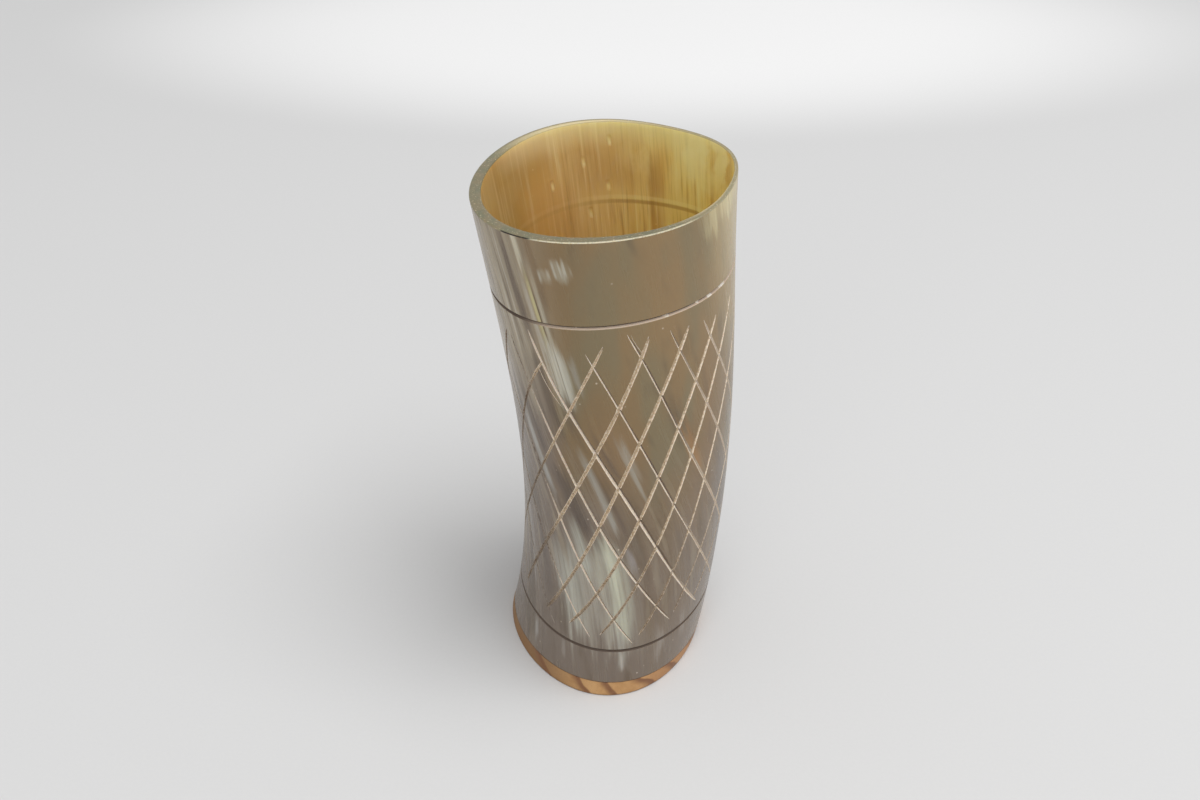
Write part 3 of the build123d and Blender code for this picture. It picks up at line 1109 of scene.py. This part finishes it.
studio = dict(
    floor="d6d6d6", glow="f3f3f3", fleck="b0b0b0", glowPlace=(0.03, 0.47), glowSize=(0.32, 0.13),
    floorSize=8.0, sky=0.55, backdrop=0.8, aim=(0.0, 0.0, 0.07),
    keyPlace=(0.47, -0.25, 1.8), keySize=1.05, keyPower=20.0,
    fillPlace=(-0.3, -1.5, 0.9), fillSize=1.2, fillPower=4.0,
    lens=50.0, sensor=36.0, cameraPlace=(-1.745 * mm, -401.811 * mm, 382.186 * mm), cameraPitch=53.773,
)


def floorMaterial():
    material, tree, inputs = newMaterial("paleFloor", Roughness=0.9, Specular_IOR_Level=0.1)
    place = placeIn(tree)
    offX, offY = ((part - middle) / size for part, middle, size
                  in zip(place.parts(), studio["glowPlace"], studio["glowSize"]))
    glow = (offX * offX + offY * offY).step(0.1, 1.2, 1.0, 0.0)  # painted pool of light at the back of the table
    paper = cloud(place, 900.0, 2.0).step(0.3, 0.7, 0.0, 0.03)
    layered(studio, "floor", (glow, "glow"), (paper, "fleck")).into(inputs["Base Color"])
    return material


def addFloor():
    half = studio["floorSize"] / 2
    mesh = bpy.data.meshes.new("floor")
    corners = [(-half, -half, 0), (half, -half, 0), (half, half, 0), (-half, half, 0)]
    mesh.from_pydata(corners, [], [(0, 1, 2, 3)])
    mesh.materials.append(floorMaterial())
    floor = addObject("floor", mesh)


def addLight(name):
    data = bpy.data.lights.new(name, "AREA")
    data.size, data.energy = studio[name + "Size"], studio[name + "Power"]
    light = addObject(name, data)
    light.location = studio[name + "Place"]
    light.rotation_euler = (Vector(studio["aim"]) - light.location).to_track_quat("-Z", "Y").to_euler()


def addSky():  # the camera and reflections see a brighter backdrop than the one that lights the cup
    world = bpy.data.worlds.new("studio")
    world.use_nodes = True
    scene.world = world
    path = addNode(world.node_tree, "ShaderNodeLightPath").outputs
    direct, glossy, clear = (Wire(path[f"Is {name} Ray"]) for name in ("Camera", "Glossy", "Transmission"))
    seen = (direct + glossy + clear).calc("MINIMUM", 1.0)
    strength = seen * (studio["backdrop"] - studio["sky"]) + studio["sky"]
    feedAll(world.node_tree.nodes["Background"], Color="ffffff", Strength=strength)


def addCamera():
    data = bpy.data.cameras.new("camera")
    data.lens, data.sensor_width = studio["lens"], studio["sensor"]
    camera = addObject("camera", data)
    camera.location = studio["cameraPlace"]
    camera.rotation_euler = (radians(studio["cameraPitch"]), 0.0, 0.0)
    scene.camera = camera


addFloor()
addLight("key")
addLight("fill")
addSky()
addCamera()
scene.view_settings.view_transform = "Standard"
print("studio ready")
